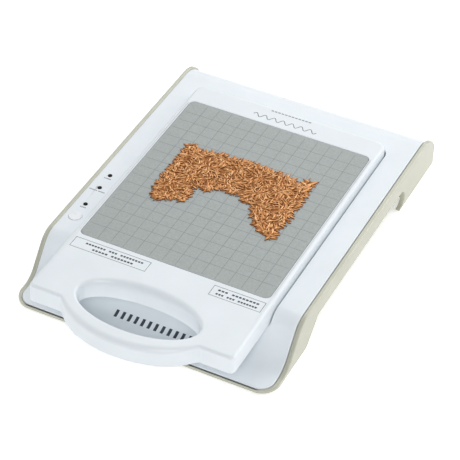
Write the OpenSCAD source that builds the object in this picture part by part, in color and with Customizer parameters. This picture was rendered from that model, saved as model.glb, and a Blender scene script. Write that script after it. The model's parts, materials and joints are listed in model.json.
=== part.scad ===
// Heated foil platform for a manual die cutting machine: a bridge-shaped powered base and a
// platform with a hot plate that lifts out of it.
// Millimetres. X across, Y from the front (-) to the back (+), Z up.
// Origin: on the table, under the centre of the overall outline.

/* [Base] */
// Width of the base across its side walls
base_w = 199.2; // [190:0.2:210]
// Distance from the origin to the back wall
base_back = 154.9; // [150:0.1:160]
// Distance from the origin forward to the front lip of the base
base_front = 122.2; // [118:0.2:126]
// Height of the white deck above the table
deck_z = 31; // [30:0.5:33]
// Height of the deck's thin front lip
lip_z = 4.2; // [4:0.1:5]
// Angle of the front slope
slope_angle = 50; // [45:1:55]
// Width of the shell's rim, seen as a ledge round the deck
rim_w = 3.3; // [3:0.1:4]
// Height of the underside of the bridge
band_z = 17; // [16:0.1:17.2]
// Plan radius of the two front corners
front_r = 14; // [12:1:24]
// Radius of the rolled back edge
roll_r = 22; // [20:1:23]
// Sheet thickness of the top cover
cover_t = 2.2; // [1.8:0.1:2.4]

/* [Platform] */
// Width of the platform
tray_w = 154.5; // [152:0.5:156]
// Distance from the origin to the platform's back edge
tray_back = 116; // [114:0.5:118]
// Distance from the origin forward to the platform's front edge
tray_front = 134; // [132:0.5:136]
// Height of the platform's top face
tray_top = 38; // [37.5:0.1:39]
// Height of the platform's underside
tray_bottom = 23.6; // [23.6:0.1:24]
// Half width of the handle loop
handle_a = 54; // [50:1:58]
// Distance from the handle's centre to its front
handle_b = 32; // [30:0.5:32]
// Half width of the finger hole
hole_a = 47; // [42:1:47]
// Half depth of the finger hole
hole_b = 22; // [18:1:22]
// Width of the grid panel
panel_w = 145.3; // [140:0.1:146]
// Depth of the grid panel, front to back
panel_d = 167.2; // [160:0.2:168]

/* [Controls] */
// Distance of the control strip left of the centre line
strip_x = 88; // [87:0.5:88.5]
// Diameter of the timer button
button_d = 9.6; // [8:0.1:10]

/* [Hidden] */
$fn = 48;

gap = 0.2;                              // clearance between mating plastic parts
half_w = base_w/2;
rim_z = deck_z - 0.6;                   // the deck stands a little above the rim
rim_lip_z = lip_z - 0.6;
shell_z = 0.8;                          // underside of the shell, above the rubber feet
crest_r = 16;                           // convex radius where the deck starts to fall
foot_r = 18;                            // concave radius where the slope meets the lip
crest_y = -68;                          // where the flat deck ends
cover_back = base_back - 2;
seam_z = 15;                            // top of the shell's back wall, where the cover starts
ledge_w = 1.9;                          // shell ledge that carries the cover
floor_z = band_z + cover_t;             // top of the shell's floor under the bridge
bay_front = 104;                        // front wall of the rear bay, between the ears
bay_floor = 4;
wall = 2.5;
ear_y = 90.5;                           // centre of the hooked front edge of each rear ear
ear_r = 7.4;
foot_back_y = -68;                      // where the front foot leaves the table
foot_rise_y = -50;                      // where its sloped back meets the bridge
arc_n = 14;                             // segments in each rounded stretch of an outline
corner_r = 3;
rim_slim = 1.9;                         // how much thinner the rim is along the front lip
screw_head_r = 3.2;                     // pockets of the cover screws
screw_head_h = 2.4;
boss_r = 4.5;
boss_h = 4.5;                           // from the underside to the top of a screw boss
rear_plate = [86.8, 109, 150.6];        // half width, front and back of the rear base plate
rear_plate_t = 1.8;
rear_window = [81, 113.5, 146.5];       // opening in the shell behind that plate
plate_boss_r = 2.9;
plate_boss_top = 11;
plate_hole_r = 1.2;
strip_screw_y = [-44, 4];               // screws of the control board
strip_screw_x = -strip_x + 3.5;

recess_z = 23.2;                        // floor of the platform's recess
recess_gap = 0.7;
recess_w = tray_w + 2*recess_gap;
tray_corner = 8;
tray_wall = 2.2;
handle_y = -(base_back - handle_b);     // centre of the handle and its hole
panel_y = 10.6;                         // centre of the grid panel
panel_corner = 4.5;
bottom_t = 1.8;                         // thickness of the platform's bottom cover
plate_top = tray_top - 2;               // top of the hot plate, against the frame
plate_t = 3;
heater_t = 0.8;
pad_t = 3;
press_t = 1.5;
grid_t = 1.8;

contact_y = 110.4;
contact_x = [-24, -8, 8, 24];
pad_z = recess_z + 0.6;                 // underside of the platform's brass pads
pin_r = 1.2;
lens_y = [-2.7, -17.7, -37.8];
button_y = -52.1;
board_z = 20.6;                         // underside of the control board
board_t = 1.6;
power_z = 6.4;                          // underside of the power board
power_top = power_z + board_t;
board_hole_r = 0.9;
screw_xy = [[88, 34], [-88, 34], [88, 92], [-88, 92], [62, -80], [-62, -80]];
plate_screw_xy = [[83.6, 111.6], [-83.6, 111.6], [83.6, 148], [-83.6, 148]];
tray_screw_xy = [[70, 104], [-70, 104], [66, -88], [-66, -88], [52, 104], [-52, 104]];
peg_xy = [[50, -80], [-50, -80]];
board_screw_xy = [[-44, 118.5], [20, 118.5], [-44, 143], [20, 143]];
foot_xy = [[70, 130], [-70, 130], [75, -94], [-75, -94]];
inlet_x = 62;
rocker_x = 34;
socket_z = 8.1;                         // height of the inlet and switch in the back wall
socket_face = base_back - 1.6;          // floor of the shallow pocket round them
inlet_half = [9.5, 4.7];                // half width and half height of the inlet's body
switch_half = [6.5, 4.4];
socket_slack = 0.2;                     // round both bodies in the back wall
pin_pitch = 4.3;                        // from the inlet's centre to each pin
trunnion_r = 0.8;
trunnion_y = 149.8;
rocker_tilt = 8;

white = [0.91, 0.925, 0.94];
champagne = [0.78, 0.775, 0.71];
panel_grey = [0.62, 0.65, 0.64];
copper = [0.79, 0.52, 0.33];

// ---------- outlines ----------

// points along an arc, from angle a0 to a1
function arc(c, r, a0, a1) = [for (i = [0:arc_n])
    let (a = a0 + (a1 - a0)*i/arc_n) [c[0] + r*cos(a), c[1] + r*sin(a)]];

// side profile of a top surface, from its back seam to its front lip, moved inwards by t
function top_line(back, top, lip, t) =
    let (drop = top - lip,
         s = sin(slope_angle),
         c = cos(slope_angle),
         run = (drop - (crest_r + foot_r)*(1 - c))/s,
         roll = [back - roll_r, top - roll_r],
         crest = [crest_y, top - crest_r],
         foot = [crest_y - (crest_r + foot_r)*s - run*c, lip + foot_r])
    concat(arc(roll, roll_r - t, asin((seam_z - roll[1])/(roll_r - t)), 90),
           arc(crest, crest_r - t, 90, 90 + slope_angle),
           arc(foot, foot_r + t, slope_angle - 90, -90));

// side profile of the shell's underside, from the front lip to the back corner
function bottom_line() = concat(
    [[-base_front, rim_lip_z], [-base_front, shell_z + 0.6], [-base_front + 1, shell_z],
     [foot_back_y - 2, shell_z], [foot_back_y + 1, shell_z + 1],
     [foot_rise_y - 1.5, band_z - 1.2], [foot_rise_y + 1.5, band_z]],
    arc([ear_y, band_z - ear_r], ear_r, 90, -90),
    [[ear_y - 0.6, shell_z + 0.4], [ear_y, shell_z]],
    arc([base_back - corner_r, shell_z + corner_r], corner_r, -90, 0));

// rounded rectangle centred on [0, y], front and back corner radii apart
module plan(w, y0, y1, rf, rb) {
    corner_pair(w/2 - rf, y0 + rf, rf);
    corner_pair(w/2 - rb, y1 - rb, rb);
    translate([-w/2, y0 + rf]) square([w, y1 - y0 - rf - rb]);
    translate([-w/2 + rf, y0]) square([w - 2*rf, rf + 1]);
    translate([-w/2 + rb, y1 - rb - 1]) square([w - 2*rb, rb + 1]);
}

// a pair of corner circles, left and right
module corner_pair(x, y, r) {
    for (s = [-1, 1]) translate([s*x, y]) circle(r);
}

// outline of the base, moved inwards by e
module base_plan(e) {
    plan(base_w - 2*e, -base_front + max(e - rim_slim, 0), base_back - e, front_r - e, corner_r);
}

// a side profile [y, z] swept across the width
module across(points, w) {
    rotate([90, 0, 90]) linear_extrude(w, center = true) polygon(points);
}

// everything between the front lip and the back wall, below a top surface
module under_top(back, top, lip, t, w) {
    edge = top_line(back, top, lip, t);
    across(concat([[edge[0][0], -1]], edge, [[-base_front - 1, lip - t], [-base_front - 1, -1]]), w);
}

module ellipse(a, b) {
    polygon([for (i = [0:71]) [a*cos(5*i), b*sin(5*i)]]);
}

// outline of the platform with its handle, moved inwards by e
module tray_plan(e) {
    plan(tray_w - 2*e, -tray_front + e, tray_back - e, 4 - min(e, 3), tray_corner - e);
    translate([0, handle_y]) ellipse(handle_a - e, handle_b - e);
}

module hole_plan(e) {
    translate([0, handle_y]) ellipse(hole_a + e, hole_b + e);
}

module panel_plan(e) {
    w = panel_w + 2*e;
    translate([0, panel_y]) plan(w, -panel_d/2 - e, panel_d/2 + e, panel_corner, panel_corner);
}

// a hollow or solid round bar between two heights
module column(xy, r, z0, z1) {
    translate([xy[0], xy[1], z0]) cylinder(r = r, h = z1 - z0);
}

// pan-head screw standing on its head
module screw(xy, z, head_r, r, length) {
    column(xy, head_r, z, z + 1.8);
    column(xy, r, z + 1.8, z + length);
}

module box(x0, x1, y0, y1, z0, z1) {
    translate([x0, y0, z0]) cube([x1 - x0, y1 - y0, z1 - z0]);
}

// an insulated wire through a list of points, its straight stretches meeting at the bends
module wire(points, r) {
    for (i = [0:len(points) - 2]) {
        d = points[i + 1] - points[i];
        translate(points[i]) rotate([0, acos(d[2]/norm(d)), atan2(d[1], d[0])])
            translate([0, 0, -r/2]) cylinder(r = r, h = norm(d) + r, $fn = 8);
    }
}

// ---------- base ----------

module lower_shell() color(champagne) {
    difference() {
        shell_solid();
        // room for the cover, inside the rim
        shell_well();
        // interior below the cover
        shell_interior();
        // the bay's front wall stands behind the ears
        box(-half_w + rim_w + 0.2, half_w - rim_w - 0.2, ear_y - 10, bay_front, -1, band_z);
        // opening and pocket of the rear base plate
        box(-rear_window[0], rear_window[0], rear_window[1], rear_window[2], 0, bay_floor + 1);
        box(-rear_plate[0] - gap, rear_plate[0] + gap, rear_plate[1] - gap, rear_plate[2] + gap,
            0, shell_z + 2);
        // pocket and openings for the inlet and the switch
        box(rocker_x - 13, inlet_x + 16, socket_face, base_back + 1, socket_z - 6.1, socket_z + 6.1);
        socket_hole(inlet_x, inlet_half);
        socket_hole(rocker_x, switch_half);
        for (p = screw_xy) {
            column(p, screw_head_r, screw_seat(p) - 1, screw_seat(p) + screw_head_h);
            column(p, 1.7, screw_seat(p), screw_seat(p) + 6);
        }
        for (p = plate_screw_xy) column(p, plate_hole_r, 0, bay_floor + 1);
    }
    difference() {
        union() {
            for (p = screw_xy) {
                ring(p, boss_r, screw_head_r, screw_seat(p) + 0.2, screw_seat(p) + screw_head_h);
                ring(p, boss_r, 1.7, screw_seat(p) + screw_head_h, screw_seat(p) + boss_h);
            }
            for (p = plate_screw_xy) ring(p, plate_boss_r, plate_hole_r, shell_z + 2, plate_boss_top);
            for (y = strip_screw_y) ring([strip_screw_x, y], 2, board_hole_r, floor_z - 0.2, board_z);
        }
        across(concat(bottom_line(), [[base_back, -5], [-base_front, -5]]), base_w);
    }
}

// the shell's underside at a cover screw: under the front foot or under the bridge
function screw_seat(p) = p[1] < 0 ? shell_z : band_z;

// opening in the back wall for a socket body
module socket_hole(x, half) {
    w = half[0] + socket_slack;
    h = half[1] + socket_slack;
    box(x - w, x + w, 145, base_back, socket_z - h, socket_z + h);
}

// outer form of the shell: side profile cut to the plan
module shell_solid() {
    intersection() {
        linear_extrude(60) base_plan(0);
        across(concat(bottom_line(), top_line(base_back, rim_z, rim_lip_z, 0)), base_w + 2);
    }
}

// space above the cover's seat
module shell_well() {
    difference() {
        intersection() {
            translate([0, 0, -1]) linear_extrude(60) base_plan(rim_w);
            box(-half_w, half_w, -base_front, base_back, lip_z - cover_t - 0.1, 60);
        }
        under_top(cover_back, deck_z, lip_z, cover_t, base_w + 4);
    }
    box(-half_w + rim_w, half_w - rim_w, base_back - 8, base_back + 1, seam_z, 60);
}

// hollow interior, inside the ledge that carries the cover
module shell_interior() {
    inner = half_w - rim_w - ledge_w;
    intersection() {
        linear_extrude(60) base_plan(rim_w + ledge_w);
        across([[-base_front, lip_z - cover_t], [foot_back_y - 5, lip_z - cover_t],
                [foot_rise_y - 4.5, floor_z], [bay_front + wall, floor_z],
                [bay_front + wall, bay_floor], [base_back - rim_w, bay_floor],
                [base_back - rim_w, 60], [-base_front, 60]], 2*inner);
    }
    box(-inner, inner, bay_front + wall, base_back - rim_w, bay_floor, seam_z + 1);
}

module ring(xy, r_out, r_in, z0, z1) {
    difference() {
        column(xy, r_out, z0, z1);
        column(xy, r_in, z0 - 1, z1 + 1);
    }
}

module top_cover() color(white) {
    difference() {
        cover_sheet();
        recess(0, recess_z, 60);
        // holes for the lenses, the button, the contacts and the pegs
        for (y = lens_y) column([-strip_x, y], 1.6, 20, 40);
        column([-strip_x, button_y], button_d/2, 20, 40);
        for (x = contact_x) column([x, contact_y], 1.6, 15, 40);
        for (p = peg_xy) column(p, 3.02, 20, 40);
    }
    // screw bosses, trimmed to the sheet they hang from
    for (p = screw_xy) {
        intersection() {
            ring(p, 3.5, 1.3, screw_seat(p) + boss_h + 0.1, 40);
            under_top(cover_back, deck_z, lip_z, 1, 2*half_w);
            if (p[1] < 0) box(-half_w, half_w, -base_front, base_back, 0, recess_z - 0.8);
        }
    }
}

// the deck's bent sheet and the tub of the recess
module cover_sheet() {
    difference() {
        intersection() {
            linear_extrude(60) base_plan(rim_w + gap);
            under_top(cover_back, deck_z, lip_z, 0, base_w);
        }
        difference() {
            under_top(cover_back, deck_z, lip_z, cover_t, base_w + 2);
            recess(cover_t, recess_z - cover_t, 60);
        }
        box(-half_w, half_w, base_back - roll_r - 2, base_back, -2, seam_z + gap);
    }
}

// space of the recess, grown by e
module recess(e, z0, z1) {
    translate([0, 0, z0]) linear_extrude(z1 - z0)
        plan(recess_w + 2*e, -200, tray_back + recess_gap + e, 1, tray_corner + e);
}

module rear_base_plate() color(champagne) {
    difference() {
        box(-rear_plate[0], rear_plate[0], rear_plate[1], rear_plate[2], shell_z, shell_z + rear_plate_t);
        for (p = plate_screw_xy) column(p, 1.5, 0, 5);
        for (i = [-6:6]) if (abs(i) > 1) box(i*8 - 1.2, i*8 + 1.2, 118, 142, 0, 5);
    }
    for (p = board_screw_xy) ring(p, 2.4, board_hole_r, shell_z + rear_plate_t, power_z);
}

module rating_plate() color("silver")
    box(-7.5, 7.5, 112.5, 147, shell_z - 0.3, shell_z);

module rubber_feet() color([0.2, 0.2, 0.21])
    for (p = foot_xy) column(p, 6, 0, shell_z);

module cover_screws() color("silver")
    for (p = screw_xy) screw(p, screw_seat(p) + 0.5, 2.7, 1.25, p[1] < 0 ? 11 : 9.2);

module base_plate_screws() color("silver")
    for (p = plate_screw_xy) {
        column(p, 2.4, shell_z - 0.4, shell_z);
        column(p, 1.15, shell_z, 9.5);
    }

module power_board() color([0.16, 0.36, 0.2])
    difference() {
        box(-52, 52, 115, 146, power_z, power_top);
        // notch for the switch
        box(25, 53, 138.9, 147, 5, 9);
        for (p = board_screw_xy) column(p, board_hole_r, 5, 9);
    }

module power_relay() color([0.15, 0.3, 0.6])
    box(14, 33, 120, 135.5, power_top, 22);

module filter_capacitors() color([0.2, 0.2, 0.25])
    for (x = [-16, -4]) column([x, 124], 5, power_top, 20);

module transformer() color([0.75, 0.7, 0.3]) {
    box(-42, -26, 119, 139, power_top, 21);
    box(-40, -28, 116.5, 119, 10, 19);
    box(-40, -28, 139, 141.5, 10, 19);
}

module board_fuse() color("gainsboro")
    translate([-20, 137, 11]) rotate([0, 90, 0]) cylinder(r = 2.6, h = 20);

module power_inlet() color([0.12, 0.12, 0.13])
    translate([inlet_x, 0, socket_z]) difference() {
        union() {
            box(-11, 11, socket_face, socket_face + 1.2, -5.7, 5.7);
            box(-inlet_half[0], inlet_half[0], 138.6, socket_face, -inlet_half[1], inlet_half[1]);
        }
        for (s = [-1, 1]) translate([pin_pitch*s, 160, 0]) rotate([90, 0, 0]) cylinder(r = 4.1, h = 19.4);
        box(-pin_pitch, pin_pitch, 140.6, 160, -3.2, 4.1);
        for (s = [-1, 1]) translate([pin_pitch*s, 142, 0]) rotate([90, 0, 0]) cylinder(r = 1.2, h = 5);
    }

module inlet_pins() color("silver")
    for (s = [-1, 1]) translate([inlet_x + pin_pitch*s, 149.4, socket_z])
        rotate([90, 0, 0]) cylinder(r = 1.18, h = 15);

module switch_housing() color([0.12, 0.12, 0.13])
    translate([rocker_x, 0, socket_z]) difference() {
        union() {
            box(-8, 8, socket_face, socket_face + 0.6, -5.4, 5.4);
            box(-switch_half[0], switch_half[0], 139.5, socket_face, -switch_half[1], switch_half[1]);
        }
        box(-5.6, 5.6, 145, 160, -3.6, 3.6);
        // bearing holes of the rocker's trunnions
        translate([0, trunnion_y, -4.2]) cylinder(r = trunnion_r + 0.05, h = 8.4);
    }

// rocker, at rest tilted to its off side
module power_rocker() color([0.1, 0.1, 0.1])
    translate([rocker_x, trunnion_y, socket_z]) rotate([0, 0, -rocker_tilt]) {
        linear_extrude(6.6, center = true)
            polygon([[-5, 3.9], [0, 3.2], [5, 3.9], [4.4, 0.4], [1.8, -1.6], [-1.8, -1.6], [-4.4, 0.4]]);
        cylinder(r = trunnion_r, h = 8.2, center = true);
    }

module control_board() color([0.16, 0.36, 0.2])
    difference() {
        box(-94, -82, -58, 8, board_z, board_z + board_t);
        for (y = strip_screw_y) column([strip_screw_x, y], 1.1, 19, 24);
    }

module control_board_screws() color("silver")
    for (y = strip_screw_y) {
        column([strip_screw_x, y], 0.88, floor_z, board_z + board_t);
        column([strip_screw_x, y], 1.8, board_z + board_t, board_z + board_t + 1.2);
    }

module indicator_leds() color("white")
    for (y = lens_y) {
        column([-strip_x, y], 1.9, board_z + board_t, board_z + 2.4);
        column([-strip_x, y], 1.5, board_z + 2.4, board_z + 4.6);
    }

module indicator_lenses() color([0.08, 0.08, 0.1])
    for (y = lens_y) {
        column([-strip_x, y], 1.55, board_z + 5, deck_z + 0.2);
        ring([-strip_x, y], 2.4, 1.5, board_z + 6, deck_z - cover_t);
    }

module timer_switch() color([0.2, 0.2, 0.2])
    translate([-strip_x, button_y, board_z + board_t]) {
        box(-3, 3, -3, 3, 0, 2.6);
        cylinder(r = 1.7, h = 3.2);
    }

// button cap with a flange under the deck and a stem above the switch
module timer_button() color(white)
    translate([-strip_x, button_y, 0]) {
        translate([0, 0, deck_z - cover_t - 1.2]) cylinder(d = button_d + 2.6, h = 0.9);
        translate([0, 0, deck_z - cover_t - 0.5]) cylinder(d = button_d - gap, h = cover_t + 0.9);
        translate([0, 0, board_z + 5.8]) cylinder(r = 1.6, h = 2);
    }

// a coil of round wire on two flat end rings, as a twisted column
module coil(xy, r, wire_r, z0, z1, turns) {
    h = z1 - z0 - 2*wire_r;
    translate([xy[0], xy[1], z0 + wire_r])
        linear_extrude(h, twist = -360*turns, slices = 12*turns, segments = 6)
            translate([r, 0]) circle(1.3*wire_r, $fn = 6);
    for (z = [z0, z1 - 2*wire_r]) ring(xy, r + wire_r, r - wire_r, z, z + 2*wire_r);
}

module button_spring() color("silver")
    coil([-strip_x, button_y], 5, 0.3, board_z + board_t, deck_z - cover_t - 1.2, 4);

// insulating carrier of the four spring contacts
module contact_block() color([0.15, 0.15, 0.16])
    difference() {
        box(-32, 32, contact_y - 3.5, contact_y + 3.5, 10.5, recess_z - cover_t);
        for (x = contact_x) {
            column([x, contact_y], pin_r + 0.05, 9, 13);
            column([x, contact_y], 2.5, 12, 25);
        }
    }

module contact_pin(i) color([0.85, 0.7, 0.35]) {
    column([contact_x[i], contact_y], pin_r, 11.4, pad_z);
    column([contact_x[i], contact_y], 2.05, 19.6, 20.6);
}

module contact_springs() color("silver")
    for (x = contact_x) coil([x, contact_y], 1.9, 0.25, 12, 19.6, 5);

module locating_pegs() color("silver")
    for (p = peg_xy) {
        column(p, 3, recess_z - cover_t, recess_z + 2);
        column(p, 2.4, recess_z + 2, recess_z + 2.8);
    }

module base_wiring() color([0.7, 0.1, 0.1]) {
    for (s = [-1, 1]) {
        // mains leads from the inlet to the power board
        wire([[inlet_x + pin_pitch*s, 133.8, socket_z], [inlet_x + pin_pitch*s, 130 + 2*s, 9],
              [54, 128 + 2*s, 10], [48, 128 + 2*s, 9.2]], 0.9);
        // feeds from the power board to the contact block
        for (k = [8, 24]) wire([[s*k, 117, 9], [s*k, 114.8, 12], [s*k, 114.8, 16]], 0.8);
    }
    // ribbon from the power board to the control board
    for (k = [0:2]) wire([[-50, 124 + 2*k, 9], [-60, 122 + 2*k, 12], [-80.7 - 1.1*k, 112, 20.3],
        [-80.7 - 1.1*k, 14, 20.3], [-83 - 1.3*k, 8.6, 21.4]], 0.45);
}

// ---------- platform ----------

module platform_frame() color(white) {
    difference() {
        translate([0, 0, tray_bottom]) linear_extrude(tray_top - tray_bottom) difference() {
            tray_plan(0);
            hole_plan(0);
        }
        translate([0, 0, tray_bottom - 1]) linear_extrude(tray_top - tray_bottom - 1) difference() {
            tray_plan(tray_wall);
            hole_plan(tray_wall);
        }
        linear_extrude(60) panel_plan(0.15);
    }
    // rib between the hot compartment and the handle, and the screw bosses
    box(-tray_w/2 + 2, tray_w/2 - 2, -77.6, -76, tray_bottom + bottom_t + 0.4, tray_top - 1);
    for (p = tray_screw_xy) ring(p, 3, 1.3, tray_bottom + bottom_t + 0.2, tray_top - 1);
}

module platform_bottom() color(white)
    difference() {
        union() {
            translate([0, 0, tray_bottom]) linear_extrude(bottom_t) difference() {
                tray_plan(tray_wall + gap);
                hole_plan(tray_wall + gap);
            }
            // support ribs of the pressure plate and rest pads on the recess floor
            for (x = [-60, -30, 0, 30, 60])
                box(x - 1, x + 1, -60, 92, tray_bottom + bottom_t, press_z());
            for (x = [-60, 60]) for (y = [-62, 88]) column([x, y], 5, recess_z, tray_bottom);
        }
        for (p = tray_screw_xy) {
            column(p, 2.7, 20, tray_bottom + 0.9);
            column(p, 1.5, 20, 30);
        }
        for (p = peg_xy) column(p, 3.4, 20, 30);
        for (x = contact_x) column([x, contact_y], 3.1, 20, 30);
    }

function press_z() = plate_top - plate_t - heater_t - pad_t - press_t;

module platform_screws() color("silver")
    for (p = tray_screw_xy) {
        column(p, 2.4, tray_bottom + 0.2, tray_bottom + 0.9);
        column(p, 1.2, tray_bottom + 0.9, tray_bottom + 8);
    }

// aluminium heat spreader, held under the frame's window
module hot_plate() color("silver")
    translate([0, 0, plate_top - plate_t]) linear_extrude(plate_t) panel_plan(1.7);

module grid_panel() color(panel_grey)
    translate([0, 0, plate_top]) linear_extrude(grid_t) panel_plan(0);

module heating_element() color([0.85, 0.55, 0.2])
    translate([0, 0, plate_top - plate_t - heater_t]) linear_extrude(heater_t) panel_plan(-3);

module insulation_pad() color([0.85, 0.83, 0.75])
    translate([0, 0, plate_top - plate_t - heater_t - pad_t]) difference() {
        linear_extrude(pad_t) panel_plan(-1);
        box(20, 28, 76, 84, -1, 10);
        box(-28, -12, 76, 84, -1, 10);
    }

module pressure_plate() color([0.6, 0.6, 0.62])
    translate([0, 0, press_z()]) difference() {
        linear_extrude(press_t) panel_plan(1.2);
        for (x = contact_x) column([x, 88], 1.6, -1, 5);
    }

module thermistor() color([0.3, 0.3, 0.3])
    box(22, 26, 78, 82, plate_top - plate_t - heater_t - 1.8, plate_top - plate_t - heater_t);

module thermal_fuse() color("beige")
    translate([-26, 80, plate_top - plate_t - heater_t - 1.4]) rotate([0, 90, 0]) cylinder(r = 1.4, h = 12);

// brass pads that the spring contacts meet
module platform_contacts() color([0.85, 0.7, 0.35])
    for (x = contact_x) {
        column([x, contact_y], 2.8, pad_z, tray_bottom + bottom_t + 0.8);
        column([x, contact_y], 1, tray_bottom + bottom_t + 0.8, tray_bottom + bottom_t + 2.2);
    }

module platform_wiring() color([0.7, 0.1, 0.1])
    for (x = contact_x)
        wire([[x, contact_y, tray_bottom + bottom_t + 3], [x, 102, tray_bottom + bottom_t + 3.4],
              [x, 99, 28], [x, 98.4, 31]], 0.8);

module foil_plate() color(copper)
    translate([0, 0, plate_top + grid_t]) linear_extrude(1.4) polygon([
        [-51, 48], [-50, 20], [-51, -3], [-48, -14], [-41, -19], [-36, -14], [-32, -11], [-26, -12],
        [-23.5, -6], [-23, 3], [-24.5, 5], [-22, 8], [-17, 5.5], [-14, 7], [-13, 10], [-9, 10.5],
        [-7, 14], [-3, 13], [0, 11.5], [5, 13.5], [10, 12.5], [12, 9.5], [17, 6.8], [19.5, 10],
        [21, 4], [25, -2], [28, -7.5], [31, -11.5], [35, -11], [38, -17], [40, -12.5], [44, -18],
        [48, -20], [48.5, -6], [50, 4], [49, 20], [49.5, 37], [48, 49], [45, 51], [42, 48.5],
        [40, 43], [34, 47], [14, 48.5], [-4, 49], [-30, 47], [-38, 45], [-43, 47]]);

lower_shell();
top_cover();
rear_base_plate();
rating_plate();
rubber_feet();
cover_screws();
base_plate_screws();
power_board();
power_relay();
filter_capacitors();
transformer();
board_fuse();
power_inlet();
inlet_pins();
switch_housing();
power_rocker();
control_board();
control_board_screws();
indicator_leds();
indicator_lenses();
timer_switch();
timer_button();
button_spring();
contact_block();
contact_pin(0);  // contact_pin_1
contact_pin(1);  // contact_pin_2
contact_pin(2);  // contact_pin_3
contact_pin(3);  // contact_pin_4
contact_springs();
locating_pegs();
base_wiring();
platform_frame();
platform_bottom();
platform_screws();
hot_plate();
grid_panel();
heating_element();
insulation_pad();
pressure_plate();
thermistor();
thermal_fuse();
platform_contacts();
platform_wiring();
foil_plate();
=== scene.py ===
"""Looks of the heated foil platform: moulded skins, printed marks, a leafy foil plate and materials.

The frame gives the overall sizes and the places of the CAD nodes; the sizes named here are the CAD
model's own inner sizes. Lengths are millimetres until a mesh is made; the studio is in metres.
"""

import json
import math
import random

import bmesh
import bpy
from mathutils import Matrix, Vector
from mathutils.geometry import tessellate_polygon


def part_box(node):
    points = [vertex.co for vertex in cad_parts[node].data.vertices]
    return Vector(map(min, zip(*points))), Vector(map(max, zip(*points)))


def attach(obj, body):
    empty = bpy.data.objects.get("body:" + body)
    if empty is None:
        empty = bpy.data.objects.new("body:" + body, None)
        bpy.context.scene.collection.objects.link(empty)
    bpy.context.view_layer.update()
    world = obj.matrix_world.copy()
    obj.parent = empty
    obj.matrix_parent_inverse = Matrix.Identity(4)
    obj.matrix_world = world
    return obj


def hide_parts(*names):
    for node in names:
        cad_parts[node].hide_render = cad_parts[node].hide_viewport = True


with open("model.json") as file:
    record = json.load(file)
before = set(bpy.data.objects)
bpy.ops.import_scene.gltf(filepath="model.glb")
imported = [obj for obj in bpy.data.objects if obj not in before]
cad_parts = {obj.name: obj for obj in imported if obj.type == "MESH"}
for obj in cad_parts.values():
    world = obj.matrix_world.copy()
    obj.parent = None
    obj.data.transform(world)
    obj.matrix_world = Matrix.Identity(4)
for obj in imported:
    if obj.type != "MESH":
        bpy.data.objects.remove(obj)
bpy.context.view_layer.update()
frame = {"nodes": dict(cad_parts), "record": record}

MM = 0.001
NODES = frame["nodes"]


def box_mm(node):
    """Lowest and highest corner of a CAD node, in millimetres."""
    low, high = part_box(node)
    return low / MM, high / MM


# ---------- sizes, from the frame where it holds them ----------

SHELL_LOW, SHELL_HIGH = box_mm("lower_shell")
COVER_HIGH = box_mm("top_cover")[1]
TRAY_LOW, TRAY_HIGH = box_mm("platform_frame")
PANEL_LOW, PANEL_HIGH = box_mm("grid_panel")
PLATE_LOW, PLATE_HIGH = box_mm("foil_plate")
BUTTON_LOW, BUTTON_HIGH = box_mm("timer_button")

# Base: the champagne shell and the white cover inside its rim
HALF_W = SHELL_HIGH.x
BACK = SHELL_HIGH.y
FRONT = -SHELL_LOW.y
RIM_Z = SHELL_HIGH.z
SHELL_Z = SHELL_LOW.z
DECK_Z = COVER_HIGH.z
COVER_BACK = COVER_HIGH.y
RIM_DROP = DECK_Z - RIM_Z
RIM_W = 3.3              # width of the rim at the sides and the back
RIM_SLIM = 1.9           # how much thinner the rim is at the front
COVER_GAP = 0.35         # shadow line between the rim and the cover
COVER_T = 2.2            # wall of the cover
WALL = 2.5               # wall of the shell
LEDGE_W = 1.9            # ledge inside the rim that the cover rests on
LIP_Z = 4.2              # height of the front lip
SLOPE = 50               # steepness of the front slope, in degrees
CREST_Y, CREST_R = -68, 16
FOOT_R = 18              # radius where the slope runs out into the front lip
ROLL_R = 22              # radius of the rolled back
SEAM_Z = 15              # where the rolled back meets the shell's back wall
BAND_Z = 17              # underside of the bridge
FLOOR_Z = BAND_Z + COVER_T
FRONT_R, BACK_R = 14, 3  # corner radii of the base's plan
EAR_Y, EAR_R = 90.5, 7.4
FOOT_BACK_Y, FOOT_RISE_Y = -68, -50
BAY_FRONT, BAY_FLOOR = 104, 4
INLET_X, ROCKER_X, SOCKET_Z = 62, 34, 8.1
SOCKET_FACE = BACK - 1.6

# Platform
TRAY_HALF = TRAY_HIGH.x
TRAY_BACK = TRAY_HIGH.y
TRAY_FRONT = -134
TRAY_TOP = TRAY_HIGH.z
TRAY_BOTTOM = TRAY_LOW.z
TRAY_CORNER = 8
HANDLE_A, HANDLE_B = 54, 32
HANDLE_Y = TRAY_LOW.y + HANDLE_B
RECESS_Z = 23.2          # floor of the recess that holds the platform
RECESS_GAP = 0.7
PANEL_CORNER = 4.5

# Strip with the lights and the button
STRIP_X = (BUTTON_LOW.x + BUTTON_HIGH.x) / 2
BUTTON_Y = (BUTTON_LOW.y + BUTTON_HIGH.y) / 2
BUTTON_HOLE = 4.8
LENS_Y = (-2.7, -17.7, -37.8)
LENS_HOLE = 1.6


# ---------- mesh helpers ----------

WELD = 0.001  # points of a CAD node that lie nearer than this are one point


def arc(cx, cy, radius, start, stop, steps=20):
    """Points along a circular arc between two angles in degrees, both ends included."""
    angles = [math.radians(start + (stop - start) * i / steps) for i in range(steps + 1)]
    return [(cx + radius * math.cos(a), cy + radius * math.sin(a)) for a in angles]


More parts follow.
